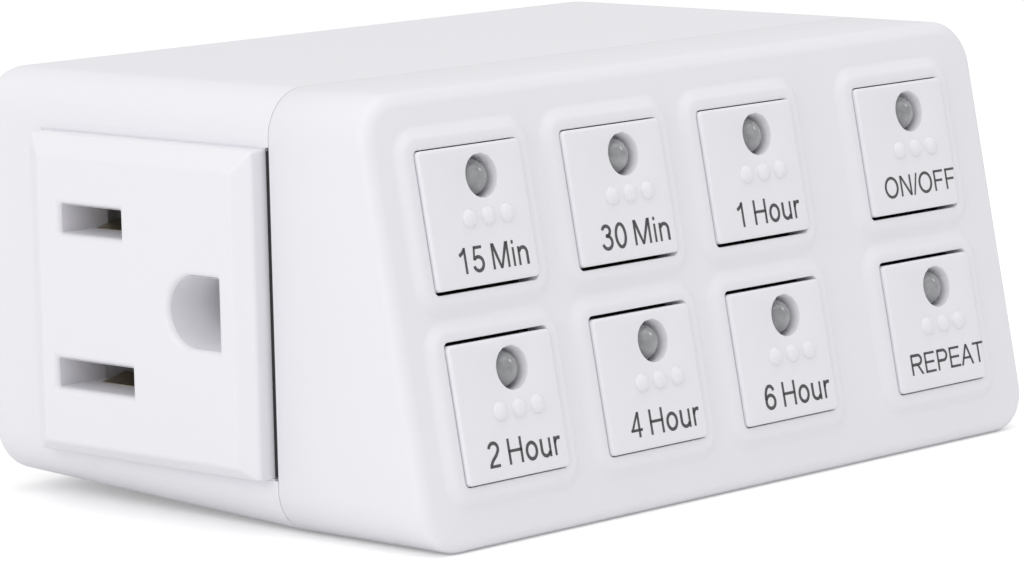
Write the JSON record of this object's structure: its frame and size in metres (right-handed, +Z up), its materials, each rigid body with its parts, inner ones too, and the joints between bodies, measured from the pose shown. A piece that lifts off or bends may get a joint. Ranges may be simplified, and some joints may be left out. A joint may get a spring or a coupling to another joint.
{
  "type": "plug-in timer switch",
  "caption": "Plug-in countdown timer switch: a wedge-fronted white box with sprung keys, a grounded socket on one end and plug blades behind.",
  "frame": {"origin": "middle of the flat wall face, between the plug blades and the ground pin", "axes": "+X along the key rows away from the socket, +Y into the wall along the blades, +Z up"},
  "size_m": [0.0777, 0.0725, 0.0354],
  "materials": {
    "case": "fine satin moulded plastic, white",
    "outlet": "fine satin moulded plastic, white",
    "key": "satin moulded plastic, white",
    "button": "plain",
    "lens": "clear diffusing lens",
    "insulator": "plain",
    "brass": "plain",
    "blade_metal": "nickel plated brass",
    "steel": "zinc plated",
    "board": "laminate",
    "switch_body": "plain",
    "component_black": "plain",
    "film_part": "plain",
    "disc_part": "plain",
    "wire_black": "plain",
    "wire_white": "plain",
    "wire_green": "plain",
    "ribbon": "plain"
  },
  "bodies": {
    "housing": {"front_shell": "case", "back_shell": "case", "outlet_face": "outlet", "contact_carrier": "insulator", "line_contact": "brass", "neutral_contact": "brass", "ground_contact": "brass", "line_blade": "blade_metal", "neutral_blade": "blade_metal", "ground_pin": "blade_metal", "blade_holder": "insulator", "key_carrier_upper": "key", "key_carrier_lower": "key", "control_board": "board", "switch_bases": "switch_body", "microcontroller": "component_black", "power_board": "board", "relay": "component_black", "film_capacitor": "film_part", "storage_capacitor": "component_black", "fuse": "component_black", "surge_absorber": "disc_part", "rectifier": "component_black", "case_screws": "steel", "holder_screws": "steel", "board_screws": "steel", "line_wire": "wire_black", "neutral_wire": "wire_white", "ground_wire": "wire_green", "ribbon_cable": "ribbon", "light_15_min": "lens", "light_30_min": "lens", "light_1_hour": "lens", "light_on_off": "lens", "light_2_hour": "lens", "light_4_hour": "lens", "light_6_hour": "lens", "light_repeat": "lens"},
    "key_15_min": {"key_15_min": "key"},
    "button_15_min": {"button_15_min": "button"},
    "key_30_min": {"key_30_min": "key"},
    "button_30_min": {"button_30_min": "button"},
    "key_1_hour": {"key_1_hour": "key"},
    "button_1_hour": {"button_1_hour": "button"},
    "key_on_off": {"key_on_off": "key"},
    "button_on_off": {"button_on_off": "button"},
    "key_2_hour": {"key_2_hour": "key"},
    "button_2_hour": {"button_2_hour": "button"},
    "key_4_hour": {"key_4_hour": "key"},
    "button_4_hour": {"button_4_hour": "button"},
    "key_6_hour": {"key_6_hour": "key"},
    "button_6_hour": {"button_6_hour": "button"},
    "key_repeat": {"key_repeat": "key"},
    "button_repeat": {"button_repeat": "button"}
  },
  "joints": [
    {"name": "press_15_min", "type": "hinge", "parent": "housing", "child": "key_15_min", "pos_m": [-0.0272, -0.04287, 0.01315], "axis": [1, 0, 0], "range_deg": [0, 2.5], "stiffness_Nm_per_rad": 0.2},
    {"name": "click_15_min", "type": "slide", "parent": "housing", "child": "button_15_min", "axis": [0, 0.9826, -0.1857], "range_m": [0, 0.00033]},
    {"name": "press_30_min", "type": "hinge", "parent": "housing", "child": "key_30_min", "pos_m": [-0.0107, -0.04287, 0.01315], "axis": [1, 0, 0], "range_deg": [0, 2.5], "stiffness_Nm_per_rad": 0.2},
    {"name": "click_30_min", "type": "slide", "parent": "housing", "child": "button_30_min", "axis": [0, 0.9826, -0.1857], "range_m": [0, 0.00033]},
    {"name": "press_1_hour", "type": "hinge", "parent": "housing", "child": "key_1_hour", "pos_m": [0.0058, -0.04287, 0.01315], "axis": [1, 0, 0], "range_deg": [0, 2.5], "stiffness_Nm_per_rad": 0.2},
    {"name": "click_1_hour", "type": "slide", "parent": "housing", "child": "button_1_hour", "axis": [0, 0.9826, -0.1857], "range_m": [0, 0.00033]},
    {"name": "press_on_off", "type": "hinge", "parent": "housing", "child": "key_on_off", "pos_m": [0.0258, -0.04287, 0.01315], "axis": [1, 0, 0], "range_deg": [0, 2.5], "stiffness_Nm_per_rad": 0.2},
    {"name": "click_on_off", "type": "slide", "parent": "housing", "child": "button_on_off", "axis": [0, 0.9826, -0.1857], "range_m": [0, 0.00033]},
    {"name": "press_2_hour", "type": "hinge", "parent": "housing", "child": "key_2_hour", "pos_m": [-0.0272, -0.04796, -0.01381], "axis": [-1, 0, 0], "range_deg": [0, 2.5], "stiffness_Nm_per_rad": 0.2},
    {"name": "click_2_hour", "type": "slide", "parent": "housing", "child": "button_2_hour", "axis": [0, 0.9826, -0.1857], "range_m": [0, 0.00033]},
    {"name": "press_4_hour", "type": "hinge", "parent": "housing", "child": "key_4_hour", "pos_m": [-0.0107, -0.04796, -0.01381], "axis": [-1, 0, 0], "range_deg": [0, 2.5], "stiffness_Nm_per_rad": 0.2},
    {"name": "click_4_hour", "type": "slide", "parent": "housing", "child": "button_4_hour", "axis": [0, 0.9826, -0.1857], "range_m": [0, 0.00033]},
    {"name": "press_6_hour", "type": "hinge", "parent": "housing", "child": "key_6_hour", "pos_m": [0.0058, -0.04796, -0.01381], "axis": [-1, 0, 0], "range_deg": [0, 2.5], "stiffness_Nm_per_rad": 0.2},
    {"name": "click_6_hour", "type": "slide", "parent": "housing", "child": "button_6_hour", "axis": [0, 0.9826, -0.1857], "range_m": [0, 0.00033]},
    {"name": "press_repeat", "type": "hinge", "parent": "housing", "child": "key_repeat", "pos_m": [0.0258, -0.04796, -0.01381], "axis": [-1, 0, 0], "range_deg": [0, 2.5], "stiffness_Nm_per_rad": 0.2},
    {"name": "click_repeat", "type": "slide", "parent": "housing", "child": "button_repeat", "axis": [0, 0.9826, -0.1857], "range_m": [0, 0.00033]}
  ],
  "couplings": [
    {"joint": "click_15_min", "follows": "press_15_min", "m_per_rad": 0.00712},
    {"joint": "click_30_min", "follows": "press_30_min", "m_per_rad": 0.00712},
    {"joint": "click_1_hour", "follows": "press_1_hour", "m_per_rad": 0.00712},
    {"joint": "click_on_off", "follows": "press_on_off", "m_per_rad": 0.00712},
    {"joint": "click_2_hour", "follows": "press_2_hour", "m_per_rad": 0.00512},
    {"joint": "click_4_hour", "follows": "press_4_hour", "m_per_rad": 0.00512},
    {"joint": "click_6_hour", "follows": "press_6_hour", "m_per_rad": 0.00512},
    {"joint": "click_repeat", "follows": "press_repeat", "m_per_rad": 0.00512}
  ]
}
